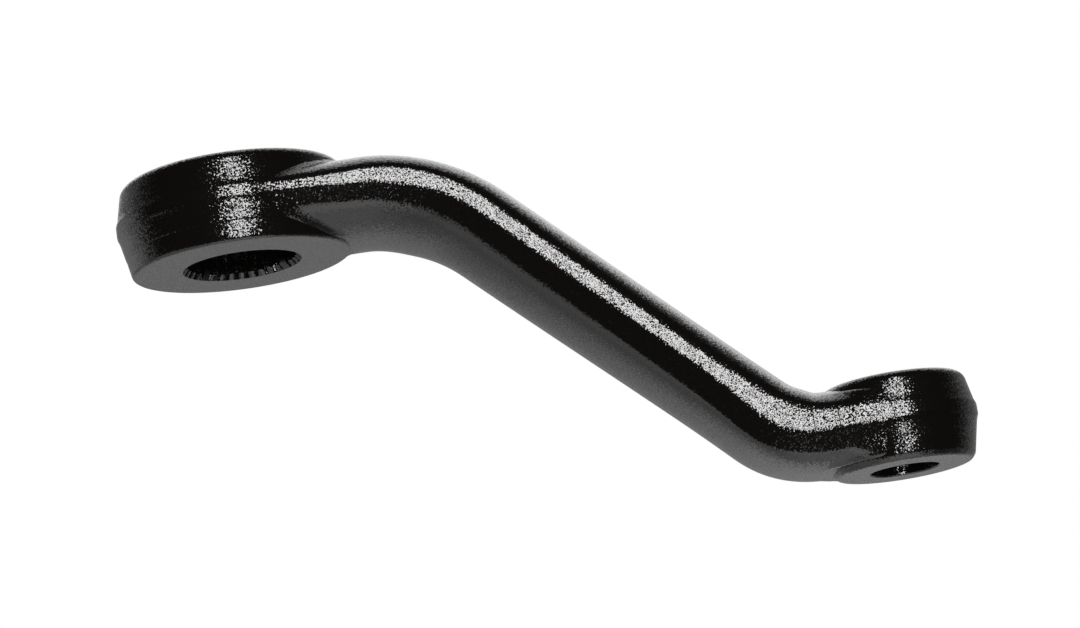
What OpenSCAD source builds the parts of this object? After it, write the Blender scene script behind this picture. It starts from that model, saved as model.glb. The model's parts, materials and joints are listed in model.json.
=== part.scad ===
// Drop pitman arm: one steel forging with a serrated taper bore for the steering
// gear's sector shaft and, lower down, a plain taper bore for the drag link's ball stud.
// The origin is on the sector bore's axis, in the forging's parting plane, with the
// bore axes along Z and the link bore on +X, below the sector bore.

/* [Layout] */
// Distance between the two bore axes, seen along them
centre_distance = 152; // [145:1:190]
// How far the link boss sits below the sector boss
drop = 75; // [60:1:85]

/* [Sector boss] */
// Largest diameter of the sector boss, over its flash land
sector_boss_d = 59; // [56:0.5:64]
// Height of the sector boss above the parting plane
sector_up = 10.8; // [10.5:0.1:15]
// Depth of the sector boss below the parting plane, down to its nut seat
sector_down = 11.8; // [11.5:0.1:15]
// Diameter of the machined nut seat under the sector boss
sector_face_d = 54; // [46:0.5:54]
// Height of the bevel that runs up from the nut seat
sector_bevel_h = 5; // [2:0.5:6]
// Radius of the rounded top edge of the sector boss
sector_edge_r = 3; // [1:0.5:5]

/* [Link boss] */
// Largest diameter of the link boss, over its flash land
link_boss_d = 39.5; // [38:0.5:46]
// Height of the link boss above the parting plane
link_up = 9.9; // [9.6:0.1:15]
// Depth of the link boss below the parting plane, down to its machined face
link_down = 11.8; // [11.5:0.1:15]
// Diameter of the machined face under the link boss
link_face_d = 33; // [28:0.5:34]
// Height of the bevel that runs up from the machined face
link_bevel_h = 1.5; // [0.5:0.5:5]
// Radius of the rounded top edge of the link boss
link_edge_r = 3; // [1:0.5:5]

/* [Serrated bore] */
// Diameter over the serration roots at the small end, in the nut seat
serration_d = 28.6; // [25:0.2:32]
// Number of serration places around the bore, four of them left as wide teeth
serration_count = 36; // [24:4:48]
// Depth of one serration
serration_depth = 1.3; // [0.8:0.1:1.8]
// Growth of the serrated bore's diameter for each millimetre up from the nut seat
sector_taper = 0.0625; // [0.02:0.0025:0.1]
// Radial width of the lead-in chamfers outside the serration roots
sector_chamfer = 0.4; // [0.3:0.1:1.2]

/* [Link bore] */
// Diameter of the taper at its large end, in the machined face
link_bore_d = 16.8; // [14:0.1:20]
// Shrinkage of the link bore's diameter for each millimetre up from the machined face
link_taper = 0.125; // [0.05:0.005:0.17]
// Radial width of the edge break at both ends of the link bore
link_chamfer = 0.3; // [0.2:0.1:1]

/* [Arm] */
// Full width of the arm at the sector bore's axis
arm_w_root = 53; // [44:0.5:55]
// Full width of the arm at the link bore's axis
arm_w_tip = 38.5; // [30:0.5:38.5]
// Height of the arm above the parting surface at the sector bore's axis
arm_up_root = 8.2; // [6.5:0.1:10]
// Height of the arm above the parting surface in the middle of the lower bend
arm_up_bend = 10; // [7:0.1:12]
// Height of the arm above the parting surface where it reaches the link boss
arm_up_tip = 9.4; // [7:0.1:9.5]
// Depth of the arm below the parting surface where it leaves the sector boss
arm_down_root = 11.4; // [8:0.1:11.4]
// Depth of the arm below the parting surface in the middle of the upper bend
arm_down_bend = 12.6; // [9:0.1:16]
// Depth of the arm below the parting surface where it reaches the link boss
arm_down_tip = 10.6; // [7:0.1:11.4]
// How square the upper half of the section is, where 2 is an ellipse
upper_fullness = 2; // [1.8:0.1:3]
// Angle round its ellipse at which the upper half leaves the flash land
upper_start = 8; // [0:1:15]
// Height of the drafted wall under the flash land, at the sector boss
wall_root = 3.4; // [2:0.1:4.5]
// Height of the drafted wall under the flash land, from the lower bend on
wall_tip = 5.6; // [3:0.1:6]
// Draft of that wall, in degrees
wall_tilt = 25; // [10:1:28]
// How square the lower half of the section is under its wall, where 2 is an ellipse
lower_fullness = 2; // [1.6:0.1:3]
// Angle round its ellipse at which the lower half leaves the wall
lower_start = 12; // [8:1:20]
// Level run from the sector bore's axis to the upper bend
root_run = 31; // [26:0.5:36]
// Level run from the lower bend to the link bore's axis
tip_run = 18; // [14:0.5:22]
// Radius of the upper bend, along the parting surface
upper_bend_r = 43; // [34:1:50]
// Radius of the lower bend, along the parting surface
lower_bend_r = 21; // [16:1:28]
// Radius of the fillets that lead the arm's sides into the sector boss
root_fillet_r = 90; // [40:1:110]
// Radius of the fillets that lead the arm's sides into the link boss
tip_fillet_r = 40; // [20:1:60]

/* [Forging] */
// Width of the trimmed flash land along the parting surface
land_w = 4.2; // [3:0.1:6]
// How far the flash land stands out from the drafted walls
land_proud = 0.5; // [0.2:0.1:1]
// Draft of the forged boss walls, in degrees
draft = 12; // [3:0.5:13]

/* [Hidden] */
$fn = 96;
// Overrun of every cut past the face that it opens
overrun = 1;
// Depth that the arm's sides run into the boss walls, so that they join at a clear angle
merge = 1;
// Segments of one rounded boss edge
edge_steps = 6;
// Points along one quarter of the arm's section
quarter_points = 9;
// Stations of the loft in its level ends, its bends and its straight
end_stations = 8;
bend_stations = 11;
straight_stations = 5;
// Wide teeth around the serrated bore
wide_teeth = 4;

// The S of the parting surface: level, upper bend, straight, lower bend, level
sector_r = sector_boss_d / 2;
link_r = link_boss_d / 2;
bends_r = upper_bend_r + lower_bend_r;
fall_run = centre_distance - root_run - tip_run;
slope = atan2(drop - bends_r, fall_run) + asin(bends_r / norm([fall_run, drop - bends_r]));
straight = (fall_run - bends_r * sin(slope)) / cos(slope);
bend_start = [root_run, 0];
straight_start = bend_start + upper_bend_r * [sin(slope), cos(slope) - 1];
straight_end = straight_start + straight * [cos(slope), -sin(slope)];
upper_bend_x = root_run + upper_bend_r * sin(slope / 2);
lower_bend_x = centre_distance - tip_run - lower_bend_r * sin(slope / 2);

function mix(a, b, f) = a + (b - a) * f;
function clamp01(f) = max(0, min(1, f));
function ease(f) = (1 - cos(180 * clamp01(f))) / 2;

// Stations of the loft, each [x, z, tilt below the level]
stations = concat(
    [for (i = [0 : end_stations - 1]) [root_run * i / end_stations, 0, 0]],
    [for (i = [0 : bend_stations - 1]) let (a = slope * i / bend_stations)
        [root_run + upper_bend_r * sin(a), upper_bend_r * (cos(a) - 1), a]],
    [for (i = [0 : straight_stations - 1]) let (p = mix(straight_start, straight_end, i / straight_stations))
        [p.x, p.y, slope]],
    [for (i = [0 : bend_stations - 1]) let (a = slope * (1 - i / bend_stations))
        [centre_distance - tip_run - lower_bend_r * sin(a), lower_bend_r * (1 - cos(a)) - drop, a]],
    [for (i = [0 : end_stations]) [centre_distance - tip_run * (1 - i / end_stations), -drop, 0]]
);

// Half width of an arm of half width w at distance d from a boss, with the side fillet that leads into it
function flared(w, boss_r, fillet_r, d) =
    let (reach = sqrt(max(0, pow(boss_r + fillet_r, 2) - pow(w + fillet_r, 2))))
    let (on_fillet = max(d, reach * boss_r / (boss_r + fillet_r)))
    on_fillet >= reach ? w : w + fillet_r - sqrt(pow(fillet_r, 2) - pow(reach - on_fillet, 2));

function half_width(x) =
    let (w = mix(arm_w_root, arm_w_tip, x / centre_distance) / 2)
    max(flared(w, sector_r - merge, root_fillet_r, x),
        flared(w, link_r - merge, tip_fillet_r, centre_distance - x));

// Heights of the section's upper and lower halves, each fullest on the inside of a bend
function height_up(x) = x < lower_bend_x
    ? mix(arm_up_root, arm_up_bend, x / lower_bend_x)
    : mix(arm_up_bend, arm_up_tip, ease((x - lower_bend_x) / (centre_distance - link_r - lower_bend_x)));

function depth_down(x) = x < upper_bend_x
    ? mix(arm_down_root, arm_down_bend, ease((x - sector_r) / (upper_bend_x - sector_r)))
    : mix(arm_down_bend, arm_down_tip, ease((x - upper_bend_x) / (centre_distance - link_r - upper_bend_x)));

// Height of the drafted wall under the flash land
function wall_h(x) = mix(wall_root, wall_tip, ease((x - sector_r) / (lower_bend_x - sector_r)));

// One quarter of the section, from half width w at height foot, where f = 0, to height h in the middle, where
// f = 1. It takes the part of a superellipse quarter that follows the start angle.
function quarter(w, foot, h, start, fullness, f) =
    let (a = mix(start, 90, f))
    let (rise = pow(sin(start), 2 / fullness))
    [w * pow(cos(a) / cos(start), 2 / fullness),
     foot + (h - foot) * (pow(sin(a), 2 / fullness) - rise) / (1 - rise)];

// Right half of the section at x, from the top middle down to the bottom middle
function half_section(x) =
    let (w = half_width(x))
    let (inner_w = w - land_proud)
    let (land_z = land_w / 2 + land_proud)
    let (wall = wall_h(x))
    concat(
        [for (i = [quarter_points : -1 : 0])
            quarter(inner_w, land_z, height_up(x), upper_start, upper_fullness, i / quarter_points)],
        [[w, land_w / 2], [w, -land_w / 2], [inner_w, -land_z]],
        [for (i = [0 : quarter_points])
            let (p = quarter(inner_w - wall * tan(wall_tilt), land_z + wall, depth_down(x),
                             lower_start, lower_fullness, i / quarter_points)) [p.x, -p.y]]
    );

// The whole section: the right half down, then its mirror image up, without the shared ends
function section(x) =
    let (right = half_section(x))
    concat(right, [for (i = [len(right) - 2 : -1 : 1]) [-right[i].x, right[i].y]]);

// Section of a station turned square to the S
function ring(s) = [for (p = section(s.x)) [s.x + p.y * sin(s.z), p.x, s.y + p.y * cos(s.z)]];

module arm() {
    rings = [for (s = stations) ring(s)];
    n = len(rings[0]);
    last = len(rings) - 1;
    polyhedron(
        points = [for (r = rings) each r],
        faces = concat(
            [[for (k = [n - 1 : -1 : 0]) k]],
            [for (i = [0 : last - 1], k = [0 : n - 1]) let (next = (k + 1) % n)
                [i * n + k, i * n + next, (i + 1) * n + next, (i + 1) * n + k]],
            [[for (k = [0 : n - 1]) last * n + k]]
        ),
        convexity = 4
    );
}

// Boss turned about its axis: machined face, bevel, drafted walls, flash land and rounded top edge
module boss(r, up, down, face_d, bevel_h, edge_r) {
    wall_r = r - land_proud;
    wall_z = land_w / 2 + land_proud;
    edge_z = up - edge_r;
    edge_x = wall_r - (edge_z - wall_z) * tan(draft) - edge_r / cos(draft);
    bevel_z = down - bevel_h;
    rotate_extrude()
        polygon(concat(
            [[0, -down], [face_d / 2, -down], [wall_r - (bevel_z - wall_z) * tan(draft), -bevel_z]],
            [[wall_r, -wall_z], [r, -land_w / 2], [r, land_w / 2], [wall_r, wall_z]],
            [for (i = [0 : edge_steps]) let (a = mix(draft, 90, i / edge_steps))
                [edge_x + edge_r * cos(a), edge_z + edge_r * sin(a)]],
            [[0, up]]
        ));
}

module sector_boss() {
    boss(sector_r, sector_up, sector_down, sector_face_d, sector_bevel_h, sector_edge_r);
}

module link_boss() {
    translate([centre_distance, 0, -drop])
        boss(link_r, link_up, link_down, link_face_d, link_bevel_h, link_edge_r);
}

// Serration outline of root radius r, with a groove at every place but the wide teeth
function serrations(r) =
    let (pitch = 360 / serration_count)
    let (tip_r = r - serration_depth)
    [for (i = [0 : serration_count - 1])
        let (a = 180 / wide_teeth + i * pitch)
        each concat(
            [tip_r * [cos(a - pitch / 2), sin(a - pitch / 2)]],
            i % (serration_count / wide_teeth) == 0 ? [] : [r * [cos(a), sin(a)]]
        )];

module serrated_bore() {
    bore_h = sector_up + sector_down;
    low_r = serration_d / 2;
    high_r = low_r + bore_h * sector_taper / 2;
    start_r = low_r - overrun * sector_taper / 2;
    end_r = high_r + overrun * sector_taper / 2;
    lead_in = sector_chamfer + serration_depth;
    translate([0, 0, -sector_down - overrun])
        linear_extrude(height = bore_h + 2 * overrun, scale = end_r / start_r)
            polygon(serrations(start_r));
    translate([0, 0, -sector_down])
        mouth(low_r + sector_chamfer, lead_in);
    translate([0, 0, sector_up])
        mirror([0, 0, 1])
            mouth(high_r + sector_chamfer, lead_in);
}

// Chamfer at 45 degrees with radius r at the face, opening downwards
module mouth(r, depth) {
    translate([0, 0, -overrun])
        cylinder(h = depth + overrun, r1 = r + overrun, r2 = r - depth);
}

module link_bore() {
    bore_h = link_up + link_down;
    large_r = link_bore_d / 2;
    small_r = large_r - bore_h * link_taper / 2;
    translate([centre_distance, 0, -drop - link_down]) {
        translate([0, 0, -overrun])
            cylinder(h = bore_h + 2 * overrun, r1 = large_r + overrun * link_taper / 2,
                     r2 = small_r - overrun * link_taper / 2);
        mouth(large_r + link_chamfer, link_chamfer);
        translate([0, 0, bore_h])
            mirror([0, 0, 1])
                mouth(small_r + link_chamfer, link_chamfer);
    }
}

module pitman_arm() {
    color("dimgray")
        difference() {
            union() {
                arm();
                sector_boss();
                link_boss();
            }
            serrated_bore();
            link_bore();
        }
}

pitman_arm();
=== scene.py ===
import json
import math
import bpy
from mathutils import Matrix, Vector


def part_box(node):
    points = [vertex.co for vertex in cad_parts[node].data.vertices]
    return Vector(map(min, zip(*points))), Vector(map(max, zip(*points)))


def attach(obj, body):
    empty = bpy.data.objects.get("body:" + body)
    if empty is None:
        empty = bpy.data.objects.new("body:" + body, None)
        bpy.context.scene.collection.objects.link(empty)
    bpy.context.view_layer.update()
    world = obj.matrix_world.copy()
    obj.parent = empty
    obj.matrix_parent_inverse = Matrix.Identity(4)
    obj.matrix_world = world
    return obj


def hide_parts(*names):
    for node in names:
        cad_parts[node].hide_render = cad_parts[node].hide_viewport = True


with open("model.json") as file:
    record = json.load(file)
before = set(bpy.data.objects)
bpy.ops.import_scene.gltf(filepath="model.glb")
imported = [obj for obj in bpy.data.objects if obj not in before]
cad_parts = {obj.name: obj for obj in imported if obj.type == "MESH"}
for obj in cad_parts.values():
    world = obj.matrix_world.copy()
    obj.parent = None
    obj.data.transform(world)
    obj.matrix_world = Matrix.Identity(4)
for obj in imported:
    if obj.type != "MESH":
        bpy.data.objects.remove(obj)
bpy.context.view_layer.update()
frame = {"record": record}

from types import SimpleNamespace

import bmesh
import bpy
from mathutils import Matrix, Vector

MM = 0.001

# Sizes that the frame gives, in metres; both bosses are equally deep below the parting surface
MOUNTS = {mount["name"]: mount for mount in frame["record"]["mounts"]}
LOW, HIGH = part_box("pitman_arm")
SECTOR_R = HIGH[1]
SECTOR_UP = HIGH[2]
SECTOR_DOWN = -MOUNTS["sector_nut_seat"]["pos_m"][2]
CENTRE_DISTANCE = MOUNTS["link_bore"]["pos_m"][0]
LINK_R = HIGH[0] - CENTRE_DISTANCE
LINK_DOWN = SECTOR_DOWN
DROP = -LOW[2] - LINK_DOWN
LINK_UP = MOUNTS["link_nut_seat"]["pos_m"][2] + DROP
SERRATION_ROOT_R = MOUNTS["sector_bore"]["dims"]["r_mm"] * MM
SERRATIONS = MOUNTS["sector_bore"]["dims"]["count"]
LINK_BORE_R = MOUNTS["link_bore"]["dims"]["r_mm"] * MM
ARM_MIDDLE = Vector((CENTRE_DISTANCE / 2, 0, -DROP / 2))

# Boss sizes as in the solid
DRAFT = math.radians(12)
SECTOR_FACE_R, SECTOR_BEVEL_H = 27 * MM, 5 * MM
LINK_FACE_R, LINK_BEVEL_H = 16.5 * MM, 1.5 * MM
EDGE_R = 3 * MM

# Bore sizes as in the solid; a taper is the change of diameter over the length
SERRATION_DEPTH = 1.3 * MM
WIDE_TEETH = 4
SECTOR_TAPER, SECTOR_CHAMFER = 0.0625, 0.4 * MM
LINK_TAPER, LINK_CHAMFER = 0.125, 0.3 * MM

# Arm sizes as in the solid
ROOT_RUN, TIP_RUN = 31 * MM, 18 * MM
UPPER_BEND_R, LOWER_BEND_R = 43 * MM, 21 * MM
ARM_W_ROOT, ARM_W_TIP = 53 * MM, 38.5 * MM
ARM_UP_ROOT, ARM_UP_BEND, ARM_UP_TIP = 8.2 * MM, 10 * MM, 9.4 * MM
ARM_DOWN_ROOT, ARM_DOWN_BEND, ARM_DOWN_TIP = 11.4 * MM, 12.6 * MM, 10.6 * MM
UPPER_FULLNESS, LOWER_FULLNESS = 2.0, 2.0
UPPER_START, LOWER_START = math.radians(8), math.radians(12)
ROOT_FILLET_R, TIP_FILLET_R = 90 * MM, 40 * MM
WALL_ROOT, WALL_TILT = 3.4 * MM, math.radians(25)
LAND_ARM = 4.2 * MM

# Forged detail in the scene's own sizes: the land's other widths, how far its edges fall and over which
# share of its width, the wall's height at the tip, the shoulders beside the land on the bosses, and the
# edge of the lower bevels
LAND_BOSS, LAND_BEND, LAND_TIP = 2.4 * MM, 6.8 * MM, 4.6 * MM
LAND_EDGE, LAND_EDGE_SHARE = 0.3 * MM, 0.2
WALL_TIP = 4.6 * MM
SHOULDER_H, SHOULDER_TILT = 1.3 * MM, math.radians(21)
SHOULDER_IN, SHOULDER_Z = SHOULDER_H * math.tan(SHOULDER_TILT), SHOULDER_H + LAND_BOSS / 2
BEVEL_STEP = 0.15 * MM

# The land starts to widen and to narrow at these distances, in boss radii, after the sector bore's axis
# and before the link bore's
LAND_WIDENS, LAND_NARROWS = 0.5, 1.6

# Lengths cut from a boss's corners to soften them, and the most of a span that a corner may take
FACE_CUT, BEVEL_LOW_CUT, BEVEL_HIGH_CUT = 0.9 * MM, 0.3 * MM, 0.4 * MM
SHOULDER_CUT, LAND_CUT = 0.6 * MM, 0.3 * MM
CUT_SHARE = 0.45

# Concave joins where the arm runs up to the boss walls: their radii, the gaps that they keep to the bosses'
# faces, the share of the section, from the land, over which they grow, and the wall's part of the lower half
SECTOR_JOIN_R, SECTOR_TOP_JOIN_R, LINK_JOIN_R = 2.2 * MM, 1.6 * MM, 6 * MM
SECTOR_JOIN_GAP, LINK_UPPER_GAP, LINK_LOWER_GAP = EDGE_R / 4, EDGE_R, EDGE_R / 2
JOIN_GROWTH, WALL_PART = 0.4, 0.25

# The arm's hidden ends: how deep and how steeply its sides sink into the bosses, and where it stops along
# its middle line and at its sides, in boss radii from the bore's axis
DIVE, DIVE_STEEPNESS = 0.5 * MM, 6
SECTOR_END_MIDDLE, SECTOR_END_SIDE = 0.68, 0.08
LINK_END_MIDDLE, LINK_END_SIDE = 0.62, -0.05

# Fineness of the meshes; the land and the wall take shares of the points on each side of a section, and
# the bore's rows lie closer together halfway up than at its mouths
ARM_STATIONS, ARM_POINTS = 260, 161
LAND_SHARE, WALL_SHARE = 0.1, 0.1
POINTS_PER_SERRATION = 10
SECTOR_POINTS = SERRATIONS * POINTS_PER_SERRATION
LINK_POINTS = 240
BORE_ROWS, BORE_ROW_CROWDING = 33, 7 / 15
LONGEST_SPAN = 2 * MM
EDGE_STEPS, CUT_STEPS = 12, 5
WELD = 0.002 * MM
SHARP_FROM = math.radians(32)

# Paint, its grain, and two nicks at these places along the arm
PAINT_COLOUR = (0.0035, 0.0030, 0.0026, 1)
PAINT_ROUGHNESS, PAINT_SHINE = 0.13, 0.5
GRAIN_SCALE, GRAIN_TILT = 2400, 0.7
NICKS_X = (130.5 * MM, 136.6 * MM)
NICK_W, NICK_REACH = 0.35 * MM, 2.83 * MM

# Surroundings: each white side has its direction, the cosines from which it shows and is full, and its level
DARK_LEVEL = 0.004
WHITE_SIDES = (((0, 0.75, -0.65), 0.08, 0.55, 0.15), ((0, 1, 0), 0.0, 0.6, 0.32),
               ((0, -0.25, -0.97), 0.86, 0.96, 1.7), ((0, 0.71, 0.71), 0.8, 0.92, 1.4),
               ((0, 0.95, -0.31), 0.9, 0.98, 0.34), ((-0.72, -0.05, -0.69), 0.87, 0.98, 0.95),
               ((-0.84, 0.54, 0), 0.84, 0.98, 0.65), ((0, 0.3, -0.95), 0.84, 0.97, 0.95),
               ((-0.6, 0.5, -0.62), 0.85, 0.97, 0.55))

# Lamp, in metres and watts, placed from the arm's middle
LAMP_W, LAMP_H, LAMP_POWER = 0.66, 3.4, 150
LAMP_AWAY = Vector((0.31, -2.9, 0.65))

# Floor, in metres; it is whole up to a share of its radius and fades out beyond
FLOOR_R, FLOOR_BACK, FLOOR_DROP = 0.7, 0.78, 0.32
FLOOR_POINTS, FLOOR_WHOLE = 96, 0.35
FLOOR_COLOUR, FLOOR_ROUGHNESS = (0.85, 0.85, 0.85, 1), 0.8
FLOOR_GLOW, FLOOR_GLOW_SEEN = 0.12, 0.5
WHITE = (1, 1, 1, 1)

# Camera, fitted to both boss faces in the photograph
CAMERA_AZIMUTH, CAMERA_ELEVATION, CAMERA_ROLL = (math.radians(a) for a in (-1.0, -11.75, -8.86))
CAMERA_AWAY = 914.5 * MM
CAMERA_AIM = Vector((70.41 * MM, 0, -35.07 * MM))
FOCAL_PX, PHOTO_W_PX = 3737, 1080


class Field:
    """A number field of a node tree that can be used in a formula."""

    def __init__(self, tree, socket):
        self.tree = tree
        self.socket = socket

    def feed(self, socket):
        self.tree.links.new(self.socket, socket)

    def math(self, operation, *others):
        node = self.tree.nodes.new("ShaderNodeMath")
        node.operation = operation
        for socket, value in zip(node.inputs, (self,) + others):
            if isinstance(value, Field):
                value.feed(socket)
            else:
                socket.default_value = value
        return Field(self.tree, node.outputs[0])

    def __add__(self, other):
        return self.math("ADD", other)

    def __sub__(self, other):
        return self.math("SUBTRACT", other)

    def __mul__(self, other):
        return self.math("MULTIPLY", other)

    def __truediv__(self, other):
        return self.math("DIVIDE", other)

    def __rsub__(self, other):
        return (self * -1) + other

    def __neg__(self):
        return self * -1

    __radd__ = __add__
    __rmul__ = __mul__

    def power(self, exponent):
        return self.math("POWER", exponent)

    def root(self):
        return self.math("SQRT")

    def sin(self):
        return self.math("SINE")

    def cos(self):
        return self.math("COSINE")

    def size(self):
        return self.math("ABSOLUTE")

    def least(self, other):
        return self.math("MINIMUM", other)

    def most(self, other):
        return self.math("MAXIMUM", other)

    def between(self, low, high):
        return self.most(low).least(high)


def mix(a, b, share):
    return a + (b - a) * share


def ease(share):
    """Smooth step from 0 to 1."""
    held = share.between(0, 1)
    return held * held * (3 - 2 * held)


class MeshRule:
    """A Geometry Nodes tree that bends a grid into a piece by a formula, with named sizes."""

    def __init__(self, name, columns, rows):
        self.group = bpy.data.node_groups.new(name, "GeometryNodeTree")
        self.group.interface.new_socket("Mesh", in_out="OUTPUT", socket_type="NodeSocketGeometry")
        self.nodes, self.links = self.group.nodes, self.group.links
        self.values = []
        self.entry = self.nodes.new("NodeGroupInput")
        self.grid = self.nodes.new("GeometryNodeMeshGrid")
        self.grid.inputs["Vertices X"].default_value = columns
        self.grid.inputs["Vertices Y"].default_value = rows
        split = self.nodes.new("ShaderNodeSeparateXYZ")
        self.links.new(self.grid.outputs["UV Map"], split.inputs[0])
        self.along = Field(self.group, split.outputs["X"])
        self.across = Field(self.group, split.outputs["Y"])

    def sizes(self, **values):
        """Makes an input of the tree for each named size and returns them all as fields."""
        fields = {}
        for name, value in values.items():
            label = name.replace("_", " ").capitalize()
            socket = self.group.interface.new_socket(label, in_out="INPUT", socket_type="NodeSocketFloat")
            self.values.append((socket.identifier, value))
            fields[name] = Field(self.group, self.entry.outputs[socket.identifier])
        return SimpleNamespace(**fields)

    def make(self, x, y, z, material):
        """Places the grid's points at the three fields and returns the plain mesh."""
        point = self.nodes.new("ShaderNodeCombineXYZ")
        for field, socket in zip((x, y, z), point.inputs):
            field.feed(socket)
        place = self.nodes.new("GeometryNodeSetPosition")
        self.links.new(self.grid.outputs["Mesh"], place.inputs["Geometry"])
        self.links.new(point.outputs[0], place.inputs["Position"])
        weld = self.nodes.new("GeometryNodeMergeByDistance")
        weld.inputs["Distance"].default_value = WELD
        realize = self.nodes.new("GeometryNodeRealizeInstances")
        paint = self.nodes.new("GeometryNodeSetMaterial")
        paint.inputs["Material"].default_value = material
        leave = self.nodes.new("NodeGroupOutput")
        chain = [place, weld, realize, paint, leave]
        for before, after in zip(chain, chain[1:]):
            self.links.new(before.outputs[0], after.inputs[0])
        holder = bpy.data.objects.new(self.group.name, bpy.data.meshes.new(self.group.name))
        bpy.context.collection.objects.link(holder)
        modifier = holder.modifiers.new("rule", "NODES")
        modifier.node_group = self.group
        for identifier, value in self.values:
            modifier[identifier] = value
        graph = bpy.context.evaluated_depsgraph_get()
        mesh = bpy.data.meshes.new_from_object(holder.evaluated_get(graph))
        holder.modifiers.remove(modifier)
        bpy.data.objects.remove(holder)
        return mesh


def s_bend(sizes):
    """The S in side view: level, upper bend, straight, lower bend, level."""
    upper_r, lower_r = sizes.upper_bend_radius, sizes.lower_bend_radius
    bends_r = upper_r + lower_r
    run = sizes.centre_distance - sizes.root_run - sizes.tip_run
    reach = sizes.drop - bends_r
    slope = reach.math("ARCTAN2", run) + (bends_r / (run * run + reach * reach).root()).math("ARCSINE")
    straight = (run - bends_r * slope.sin()) / slope.cos()
    upper_end = sizes.root_run + upper_r * slope
    straight_end = upper_end + straight
    half_turn = (slope / 2).sin()
    return SimpleNamespace(slope=slope, straight=straight, upper_end=upper_end, straight_end=straight_end,
                           lower_end=straight_end + lower_r * slope,
                           upper_x=sizes.root_run + upper_r * half_turn,
                           lower_x=sizes.centre_distance - sizes.tip_run - lower_r * half_turn)


def along_bend(sizes, bend, path):
    """How far along and down the S is after a path distance, and how it leans there."""
    upper_r, lower_r = sizes.upper_bend_radius, sizes.lower_bend_radius
    upper_turn = ((path - sizes.root_run) / upper_r).between(0, bend.slope)
    lower_turn = ((path - bend.straight_end) / lower_r).between(0, bend.slope)
    on_straight = (path - bend.upper_end).between(0, bend.straight)
    left = bend.slope - lower_turn
    x = (path.least(sizes.root_run) + upper_r * upper_turn.sin() + on_straight * bend.slope.cos()
         + lower_r * (bend.slope.sin() - left.sin()) + (path - bend.lower_end).most(0))
    z = -(upper_r * (1 - upper_turn.cos()) + on_straight * bend.slope.sin()
          + lower_r * (left.cos() - bend.slope.cos()))
    return x, z, upper_turn - lower_turn


def half_width(sizes, x):
    """Half the arm's width, with the side fillets that lead into the bosses."""
    half = mix(sizes.width_at_root, sizes.width_at_tip, x / sizes.centre_distance) / 2

    def flared(boss_r, fillet_r, away):
        reach = ((boss_r + fillet_r).power(2) - (half + fillet_r).power(2)).most(0).root()
        on_fillet = away.most(reach * boss_r / (boss_r + fillet_r))
        short = (reach - on_fillet).most(0)
        sunk = sizes.dive_into_bosses * ease((on_fillet - away) / boss_r * DIVE_STEEPNESS)
        return half + fillet_r - (fillet_r * fillet_r - short * short).root() - sunk

    at_root = flared(sizes.sector_boss_radius, sizes.root_fillet_radius, x)
    at_tip = flared(sizes.link_boss_radius, sizes.tip_fillet_radius, sizes.centre_distance - x)
    return at_root.most(at_tip)


def heights(sizes, bend, x):
    """How far the arm reaches above and below its parting surface."""
    sector_r, boss_x = sizes.sector_boss_radius, sizes.centre_distance - sizes.link_boss_radius
    up = (mix(sizes.up_at_root, sizes.up_at_bend, (x / bend.lower_x).between(0, 1))
          + (sizes.up_at_tip - sizes.up_at_bend) * ease((x - bend.lower_x) / (boss_x - bend.lower_x)))
    down = (mix(sizes.down_at_root, sizes.down_at_bend, ease((x - sector_r) / (bend.upper_x - sector_r)))
            + (sizes.down_at_tip - sizes.down_at_bend) * ease((x - bend.upper_x) / (boss_x - bend.upper_x)))
    return up, down


def land_width(sizes, bend, x):
    """Width of the flash land, which grows from the sector boss to the lower bend and then narrows."""
    sector_r, link_r = sizes.sector_boss_radius, sizes.link_boss_radius
    widen = ease((x - sector_r * LAND_WIDENS) / sector_r)
    spread = ease((x - bend.lower_x) / link_r + 1)
    narrow = ease((x - sizes.centre_distance) / link_r + LAND_NARROWS)
    return (sizes.land_at_boss + (sizes.land_at_arm - sizes.land_at_boss) * widen
            + (sizes.land_at_bend - sizes.land_at_arm) * spread
            + (sizes.land_at_tip - sizes.land_at_bend) * narrow)


def quarter(share, first, fullness):
    """Superellipse quarter from a first angle: how far it has closed in and how far it has risen."""
    angle = share * (math.pi / 2 - first) + first
    power, lift = 2 / fullness, math.sin(first) ** (2 / fullness)
    closed = (angle.cos().most(0) / math.cos(first)).power(power)
    return closed, (angle.sin().power(power) - lift) / (1 - lift)


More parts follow.
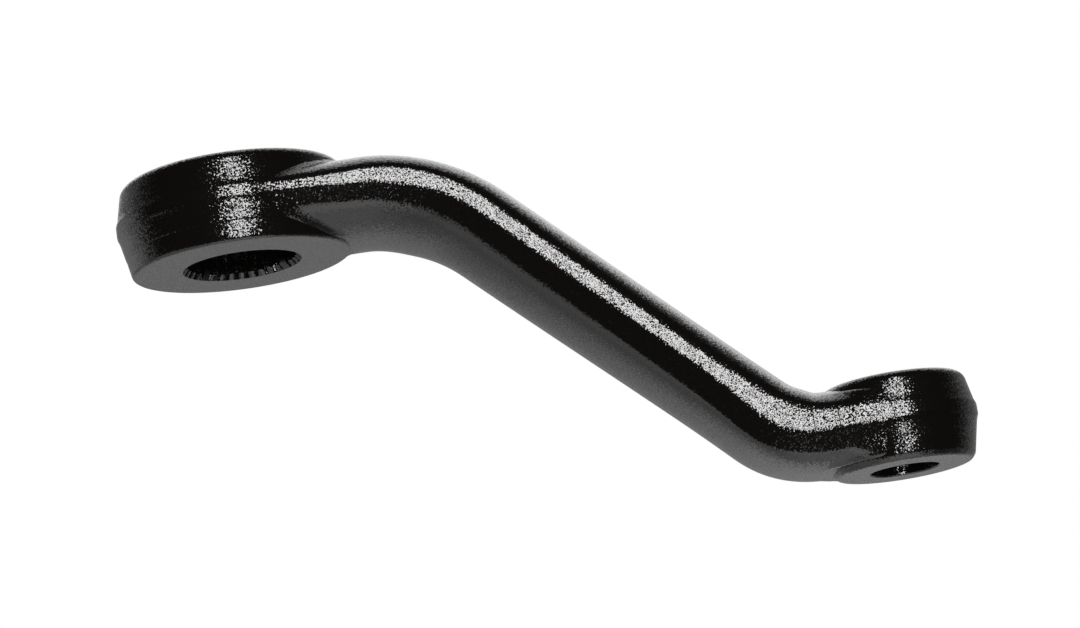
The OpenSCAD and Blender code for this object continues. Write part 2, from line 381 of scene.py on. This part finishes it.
def swept_arm(material):
    """The S-bent arm: superellipse halves above and below a flash land, led into both bosses by fillets."""
    rule = MeshRule("Swept arm", ARM_STATIONS, ARM_POINTS)
    sizes = rule.sizes(
        centre_distance=CENTRE_DISTANCE, drop=DROP, root_run=ROOT_RUN, tip_run=TIP_RUN,
        upper_bend_radius=UPPER_BEND_R, lower_bend_radius=LOWER_BEND_R,
        sector_boss_radius=SECTOR_R, link_boss_radius=LINK_R,
        width_at_root=ARM_W_ROOT, width_at_tip=ARM_W_TIP,
        root_fillet_radius=ROOT_FILLET_R, tip_fillet_radius=TIP_FILLET_R, dive_into_bosses=DIVE,
        up_at_root=ARM_UP_ROOT, up_at_bend=ARM_UP_BEND, up_at_tip=ARM_UP_TIP,
        down_at_root=ARM_DOWN_ROOT, down_at_bend=ARM_DOWN_BEND, down_at_tip=ARM_DOWN_TIP,
        land_at_boss=LAND_BOSS, land_at_arm=LAND_ARM, land_at_bend=LAND_BEND, land_at_tip=LAND_TIP,
        land_edge=LAND_EDGE, wall_at_root=WALL_ROOT, wall_at_tip=WALL_TIP,
        sector_join_radius=SECTOR_JOIN_R, sector_top_join_radius=SECTOR_TOP_JOIN_R,
        link_join_radius=LINK_JOIN_R)
    sector_r, link_r = sizes.sector_boss_radius, sizes.link_boss_radius
    bend = s_bend(sizes)

    # Round the section: 0 is the top middle, 1 the bottom middle, on both sides
    flank = 0.5 - LAND_SHARE / 2
    turn = 1 - (rule.across * 2 - 1).size()
    side = (0.5 - rule.across).math("SIGN")
    upper_f = 1 - (turn / flank).between(0, 1)
    land_f = ((turn - flank) / LAND_SHARE).between(0, 1)
    wall_f = ((turn - flank - LAND_SHARE) / WALL_SHARE).between(0, 1)
    lower_f = ((turn - flank - LAND_SHARE - WALL_SHARE) / (flank - WALL_SHARE)).between(0, 1)
    upper_closed, upper_risen = quarter(upper_f, UPPER_START, UPPER_FULLNESS)
    lower_closed, lower_risen = quarter(lower_f, LOWER_START, LOWER_FULLNESS)
    closed = upper_closed * lower_closed

    # Along the path: both ends stop on a curve round the bore, inside the boss, and the first and last
    # stations close the two hidden ends in a point on that curve
    station = rule.along * (ARM_STATIONS - 1)
    open_share = station.least((ARM_STATIONS - 1) - station).between(0, 1)

    def clear_of_bore(middle_r, side_r):
        return mix(middle_r, mix(middle_r, side_r, ease(closed)), open_share)

    start = clear_of_bore(sector_r * SECTOR_END_MIDDLE, sector_r * SECTOR_END_SIDE)
    link_clear = clear_of_bore(link_r * LINK_END_MIDDLE, link_r * LINK_END_SIDE)
    end = bend.lower_end + sizes.tip_run - link_clear
    path = mix(start, end, ((station - 1) / (ARM_STATIONS - 3)).between(0, 1))
    x_path, z_path, tilt = along_bend(sizes, bend, path)

    # The section: a land with fallen edges and a wall below it, between the two superellipse halves
    up, down = heights(sizes, bend, x_path)
    land_z = land_width(sizes, bend, x_path) / 2 + sizes.land_edge
    near_edge = (1 - land_f.least(1 - land_f) / LAND_EDGE_SHARE).most(0)
    y_land = half_width(sizes, x_path) - sizes.land_edge * near_edge * near_edge
    wall_growth = ease((x_path - sector_r) / (bend.lower_x - sector_r))
    wall_h = mix(sizes.wall_at_root, sizes.wall_at_tip, wall_growth)
    y_wall = y_land - wall_h * wall_f * math.tan(WALL_TILT)
    y = y_wall * closed * side * open_share
    rise = (up - land_z) * upper_risen
    fall = wall_h * wall_f + (down - land_z - wall_h) * lower_risen
    z_section = mix(land_z, -land_z, land_f) + rise - fall

    # Concave joins where the upper and lower surfaces run up to the boss walls
    def join(axis_x, boss_r, boss_z, join_r, room):
        off_x = x_path + z_section * tilt.sin() - axis_x
        off_z = (z_path + z_section * tilt.cos() - boss_z).size()
        wall = boss_r - SHOULDER_IN - (off_z - SHOULDER_Z).most(0) * math.tan(DRAFT)
        away = (off_x * off_x + y * y).root() - wall
        touch = math.tan((math.pi / 2 - DRAFT) / 2)
        bite = (join_r * touch - away).between(0, join_r * math.cos(DRAFT))
        inside = (1 + away / join_r).between(0, 1)
        lift = (join_r - (join_r * join_r - bite * bite).root()) * inside
        return lift.least((room - off_z).most(0))

    def joins(sector_join_r, sector_room, link_room):
        at_sector = join(0, sector_r, 0, sector_join_r, sector_room)
        return at_sector + join(sizes.centre_distance, link_r, -sizes.drop, sizes.link_join_radius, link_room)

    below_f = mix(lower_f, wall_f, WALL_PART)
    upper_joins = joins(sizes.sector_top_join_radius, SECTOR_UP - SECTOR_JOIN_GAP, LINK_UP - LINK_UPPER_GAP)
    lower_joins = joins(sizes.sector_join_radius, SECTOR_DOWN - SECTOR_JOIN_GAP, LINK_DOWN - LINK_LOWER_GAP)
    lift = upper_joins * ease(upper_f / JOIN_GROWTH) - lower_joins * ease(below_f / JOIN_GROWTH)
    z = (z_section + lift) * open_share
    return rule.make(x_path + z * tilt.sin(), y, z_path + z * tilt.cos(), material)


def serrated_bore(material):
    """The tapered bore wall with its serrations, wide teeth and two lead-in chamfers."""
    rule = MeshRule("Serrated bore", SECTOR_POINTS + 1, BORE_ROWS)
    sizes = rule.sizes(serrations=SERRATIONS, wide_teeth=WIDE_TEETH, serration_depth=SERRATION_DEPTH,
                       root_radius=SERRATION_ROOT_R, taper=SECTOR_TAPER, chamfer=SECTOR_CHAMFER,
                       depth_down=SECTOR_DOWN, height_up=SECTOR_UP)
    low, high, root_r = sizes.depth_down, sizes.height_up, sizes.root_radius

    # Up the bore
    ramp = rule.across * 2 - 1
    climb = mix(ramp, ramp * ramp * ramp, BORE_ROW_CROWDING) / 2 + 0.5
    z = mix(-low, high, climb)
    smooth_r = root_r + (z + low) * sizes.taper / 2
    mouth_low = root_r + sizes.chamfer - (z + low)
    mouth_high = root_r + (low + high) * sizes.taper / 2 + sizes.chamfer - (high - z)

    # Round the bore: 0 in a serration's root, 1 on a tooth, and 1 right across the wide teeth
    angle = rule.along * (2 * math.pi)
    places = rule.along * sizes.serrations
    tooth = (places - places.math("ROUND")).size() * 2
    from_wide = rule.along * sizes.wide_teeth - 0.5
    places_off = (from_wide - from_wide.math("ROUND")).size() / sizes.wide_teeth * sizes.serrations
    is_wide = places_off.math("LESS_THAN", 0.5)
    tooth_r = smooth_r - sizes.serration_depth * (tooth * (1 - is_wide) + is_wide).least(1)
    radius = tooth_r.most(mouth_low).most(mouth_high)
    return rule.make(radius * angle.cos(), radius * angle.sin(), z, material)


def arc(centre_r, centre_z, radius, first, last, steps):
    """Points of a round edge in a boss profile, between two angles."""
    turns = [first + (last - first) * k / steps for k in range(steps + 1)]
    return [(centre_r + radius * math.cos(a), centre_z + radius * math.sin(a)) for a in turns]


def rounded(before, corner, after, cut):
    """A corner of a profile as a short curve that starts and ends at the given distance from it."""
    b, c, a = Vector(before), Vector(corner), Vector(after)
    start = c + (b - c).normalized() * min(cut, (b - c).length * CUT_SHARE)
    end = c + (a - c).normalized() * min(cut, (a - c).length * CUT_SHARE)
    turns = [k / CUT_STEPS for k in range(CUT_STEPS + 1)]
    return [tuple(start * (1 - t) ** 2 + c * 2 * t * (1 - t) + end * t ** 2) for t in turns]


def split_long(profile, longest):
    """Adds points to a profile so that no span is longer than the given length."""
    points = [profile[0]]
    for start, end in zip(profile, profile[1:]):
        pieces = max(1, math.ceil(math.dist(start, end) / longest))
        points += [tuple(mix(a, b, k / pieces) for a, b in zip(start, end)) for k in range(1, pieces + 1)]
    return points


def boss_profile(boss_r, up, down, face_r, bevel_h, rims):
    """Outside of a boss from the lower face's inner rim round to the upper face's inner rim."""
    low_rim, high_rim = rims
    wall_r = boss_r - SHOULDER_IN
    edge_z = up - EDGE_R
    edge_c = wall_r - (edge_z - SHOULDER_Z) * math.tan(DRAFT) - EDGE_R / math.cos(DRAFT)
    bevel_z = down - bevel_h
    bevel_r = wall_r - (bevel_z - SHOULDER_Z) * math.tan(DRAFT)
    corners = [((face_r, -down), FACE_CUT),
               ((bevel_r - BEVEL_STEP, -bevel_z - 2 * BEVEL_STEP), BEVEL_LOW_CUT),
               ((bevel_r, -bevel_z), BEVEL_HIGH_CUT),
               ((wall_r, -SHOULDER_Z), SHOULDER_CUT),
               ((boss_r, -LAND_BOSS / 2), LAND_CUT),
               ((boss_r, LAND_BOSS / 2), LAND_CUT),
               ((wall_r, SHOULDER_Z), SHOULDER_CUT)]
    upper_edge = arc(edge_c, edge_z, EDGE_R, DRAFT, math.pi / 2, EDGE_STEPS)
    stops = [(low_rim, -down)] + [corner for corner, cut in corners] + [upper_edge[0]]
    points = stops[:1]
    for before, (corner, cut), after in zip(stops, corners, stops[2:]):
        points += rounded(before, corner, after, cut)
    return points + upper_edge + [(high_rim, up)]


def turned(name, profile, around, centre, closed, height=lambda angle, z: z):
    """Revolves a profile of (radius, height) points about a vertical axis; height may change round it."""
    shell = bmesh.new()
    rings = []
    for k in range(around):
        a = 2 * math.pi * k / around
        x, y = math.cos(a), math.sin(a)
        rings.append([shell.verts.new((centre[0] + r * x, centre[1] + r * y, centre[2] + height(a, z)))
                      for r, z in profile])
    spans = len(profile) if closed else len(profile) - 1
    for k in range(around):
        here, there = rings[k], rings[(k + 1) % around]
        for i in range(spans):
            j = (i + 1) % len(profile)
            shell.faces.new((here[i], there[i], there[j], here[j]))
    mesh = bpy.data.meshes.new(name)
    shell.to_mesh(mesh)
    shell.free()
    return mesh


def sector_boss(material):
    """The outside of the sector boss, open at its rims, and the serrated bore that closes it."""
    low_rim = SERRATION_ROOT_R + SECTOR_CHAMFER
    high_rim = low_rim + (SECTOR_UP + SECTOR_DOWN) * SECTOR_TAPER / 2
    profile = boss_profile(SECTOR_R, SECTOR_UP, SECTOR_DOWN, SECTOR_FACE_R, SECTOR_BEVEL_H,
                           (low_rim, high_rim))
    outside = turned("Sector boss", split_long(profile, LONGEST_SPAN), SECTOR_POINTS, (0, 0, 0), False)
    return [outside, serrated_bore(material)]


def link_boss():
    """The link boss with its plain taper bore, whose land is wider on the arm's side."""
    small_r = LINK_BORE_R - (LINK_UP + LINK_DOWN) * LINK_TAPER / 2
    rims = (LINK_BORE_R + LINK_CHAMFER, small_r + LINK_CHAMFER)
    profile = boss_profile(LINK_R, LINK_UP, LINK_DOWN, LINK_FACE_R, LINK_BEVEL_H, rims)
    profile += [(small_r, LINK_UP - LINK_CHAMFER), (LINK_BORE_R, LINK_CHAMFER - LINK_DOWN)]
    edge_up, edge_down = LINK_UP - EDGE_R, LINK_DOWN - LINK_BEVEL_H
    even_half, fade = math.pi / 4, math.pi / 2

    def land_height(angle, z):
        """Spreads the land on the arm's side to the width that it has at the arm's tip."""
        if abs(z) < LAND_BOSS / 4 or not -edge_down < z < edge_up:
            return z
        share = min(max((abs(angle - math.pi) - even_half) / fade, 0), 1)
        spread = (LAND_TIP - LAND_BOSS) / 2 * (1 - share * share * (3 - 2 * share))
        edge = edge_up if z > 0 else edge_down
        hold = min((edge - abs(z)) / (edge - SHOULDER_Z), 1)
        return z + math.copysign(spread * hold, z)

    centre = (CENTRE_DISTANCE, 0, -DROP)
    return [turned("Link boss", split_long(profile, LONGEST_SPAN), LINK_POINTS, centre, True, land_height)]


def black_paint():
    """Semi-gloss black over forged steel, with a fine grain that breaks up the lamp's shine."""
    material = bpy.data.materials.new("Black paint on forged steel")
    material.use_nodes = True
    tree = material.node_tree
    nodes, links = tree.nodes, tree.links
    shader = nodes["Principled BSDF"]
    shader.inputs["Base Color"].default_value = PAINT_COLOUR
    shader.inputs["Roughness"].default_value = PAINT_ROUGHNESS
    place = nodes.new("ShaderNodeTexCoord")
    grain = nodes.new("ShaderNodeTexNoise")
    grain.inputs["Scale"].default_value = GRAIN_SCALE
    grain.inputs["Detail"].default_value = 1
    links.new(place.outputs["Object"], grain.inputs["Vector"])
    tilt = nodes.new("ShaderNodeVectorMath")
    tilt.operation = "MULTIPLY_ADD"
    tilt.inputs[1].default_value = (GRAIN_TILT,) * 3
    tilt.inputs[2].default_value = (-GRAIN_TILT / 2,) * 3
    links.new(grain.outputs["Color"], tilt.inputs[0])
    face = nodes.new("ShaderNodeNewGeometry")
    lean = nodes.new("ShaderNodeVectorMath")
    links.new(face.outputs["Normal"], lean.inputs[0])
    links.new(tilt.outputs["Vector"], lean.inputs[1])
    even = nodes.new("ShaderNodeVectorMath")
    even.operation = "NORMALIZE"
    links.new(lean.outputs["Vector"], even.inputs[0])
    links.new(even.outputs["Vector"], shader.inputs["Normal"])

    # The nicks are thin dull lines on the photographed side, down the land where it meets the link boss
    axes = nodes.new("ShaderNodeSeparateXYZ")
    links.new(place.outputs["Object"], axes.inputs[0])
    x, y, z = (Field(tree, socket) for socket in axes.outputs)
    nearest = (x - NICKS_X[0]).size().least((x - NICKS_X[1]).size())
    in_front = y.math("LESS_THAN", 0)
    on_land = (z + DROP).size().math("LESS_THAN", NICK_REACH)
    dull = (1 - nearest / (NICK_W / 2)).most(0).root() * in_front * on_land
    ((1 - dull) * PAINT_SHINE).feed(shader.inputs["Specular IOR Level"])
    return material


def forging():
    """Joins the arm and both bosses into the one piece that stands for the CAD node."""
    paint = black_paint()
    whole = bmesh.new()
    for mesh in [swept_arm(paint)] + sector_boss(paint) + link_boss():
        whole.from_mesh(mesh)
    bmesh.ops.remove_doubles(whole, verts=whole.verts, dist=WELD)
    bmesh.ops.recalc_face_normals(whole, faces=whole.faces)
    mesh = bpy.data.meshes.new("arm_forging")
    whole.to_mesh(mesh)
    whole.free()
    mesh.materials.clear()
    mesh.materials.append(paint)
    mesh.polygons.foreach_set("use_smooth", [True] * len(mesh.polygons))
    mesh.polygons.foreach_set("material_index", [0] * len(mesh.polygons))
    mesh.set_sharp_from_angle(angle=SHARP_FROM)
    piece = bpy.data.objects.new("arm_forging", mesh)
    bpy.context.collection.objects.link(piece)
    return piece


def faded(tree, socket, start, stop, before, after):
    """Smooth change from one level to another while a socket's value goes from start to stop."""
    node = tree.nodes.new("ShaderNodeMapRange")
    node.interpolation_type = "SMOOTHSTEP"
    tree.links.new(socket, node.inputs["Value"])
    for name, value in (("From Min", start), ("From Max", stop), ("To Min", before), ("To Max", after)):
        node.inputs[name].default_value = value
    return Field(tree, node.outputs["Result"])


def camera_ray(tree):
    return Field(tree, tree.nodes.new("ShaderNodeLightPath").outputs["Is Camera Ray"])


def white_surroundings():
    """A world with white sides behind, below and left of the arm, dark in front, and white to the camera."""
    world = bpy.data.worlds.new("White below and behind, dark in front")
    bpy.context.scene.world = world
    world.use_nodes = True
    tree = world.node_tree
    where = tree.nodes.new("ShaderNodeTexCoord")
    sides = []
    for direction, shows_from, full_from, level in WHITE_SIDES:
        toward = tree.nodes.new("ShaderNodeVectorMath")
        toward.operation = "DOT_PRODUCT"
        toward.inputs[1].default_value = Vector(direction).normalized()
        tree.links.new(where.outputs["Generated"], toward.inputs[0])
        sides.append(faded(tree, toward.outputs["Value"], shows_from, full_from, DARK_LEVEL, level))
    whitest = sides[0]
    for side in sides[1:]:
        whitest = whitest.most(side)
    back = tree.nodes["Background"]
    back.inputs["Color"].default_value = WHITE
    mix(whitest, 1, camera_ray(tree)).feed(back.inputs["Strength"])


def strip_lamp():
    """One tall soft lamp beside the camera, turned to the arm's middle."""
    lamp = bpy.data.lights.new("Strip lamp beside the camera", "AREA")
    lamp.shape = "RECTANGLE"
    lamp.size, lamp.size_y = LAMP_W, LAMP_H
    lamp.energy = LAMP_POWER
    holder = bpy.data.objects.new("Strip lamp beside the camera", lamp)
    turn = LAMP_AWAY.to_track_quat("Z", "Y").to_matrix().to_4x4()
    holder.matrix_world = Matrix.Translation(ARM_MIDDLE + LAMP_AWAY) @ turn
    bpy.context.collection.objects.link(holder)


def pale_floor():
    """A round floor below and behind the arm, which fades out towards its rim."""
    bpy.ops.mesh.primitive_circle_add(vertices=FLOOR_POINTS, radius=FLOOR_R, fill_type="NGON",
                                      location=(ARM_MIDDLE.x, FLOOR_BACK, -FLOOR_DROP))
    floor = bpy.context.object
    floor.name = "Floor"
    pale = bpy.data.materials.new("Pale floor")
    pale.use_nodes = True
    tree = pale.node_tree
    surface = tree.nodes["Principled BSDF"]
    surface.inputs["Base Color"].default_value = FLOOR_COLOUR
    surface.inputs["Roughness"].default_value = FLOOR_ROUGHNESS
    surface.inputs["Emission Color"].default_value = WHITE
    (camera_ray(tree) * FLOOR_GLOW_SEEN + FLOOR_GLOW).feed(surface.inputs["Emission Strength"])
    place = tree.nodes.new("ShaderNodeTexCoord")
    from_middle = tree.nodes.new("ShaderNodeVectorMath")
    from_middle.operation = "LENGTH"
    tree.links.new(place.outputs["Object"], from_middle.inputs[0])
    whole = faded(tree, from_middle.outputs["Value"], FLOOR_R * FLOOR_WHOLE, FLOOR_R, 1, 0)
    whole.feed(surface.inputs["Alpha"])
    floor.data.materials.append(pale)


def photo_camera():
    """The photograph's viewpoint: a long lens a little below the boss faces, rolled as the photograph is."""
    level_share = math.cos(CAMERA_ELEVATION)
    back = Vector((math.sin(CAMERA_AZIMUTH) * level_share, -math.cos(CAMERA_AZIMUTH) * level_share,
                   math.sin(CAMERA_ELEVATION)))
    level = Vector((math.cos(CAMERA_AZIMUTH), math.sin(CAMERA_AZIMUTH), 0))
    upright = back.cross(level)
    right = math.cos(CAMERA_ROLL) * level + math.sin(CAMERA_ROLL) * upright
    up = math.cos(CAMERA_ROLL) * upright - math.sin(CAMERA_ROLL) * level
    data = bpy.data.cameras.new("Camera")
    data.lens = data.sensor_width * FOCAL_PX / PHOTO_W_PX
    camera = bpy.data.objects.new("Camera", data)
    turn = Matrix((right, up, back)).transposed().to_4x4()
    camera.matrix_world = Matrix.Translation(CAMERA_AIM + back * CAMERA_AWAY) @ turn
    bpy.context.collection.objects.link(camera)
    bpy.context.scene.camera = camera


bpy.context.scene.view_settings.view_transform = "Standard"
arm_piece = forging()
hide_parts("pitman_arm")
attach(arm_piece, "root")
white_surroundings()
strip_lamp()
pale_floor()
photo_camera()
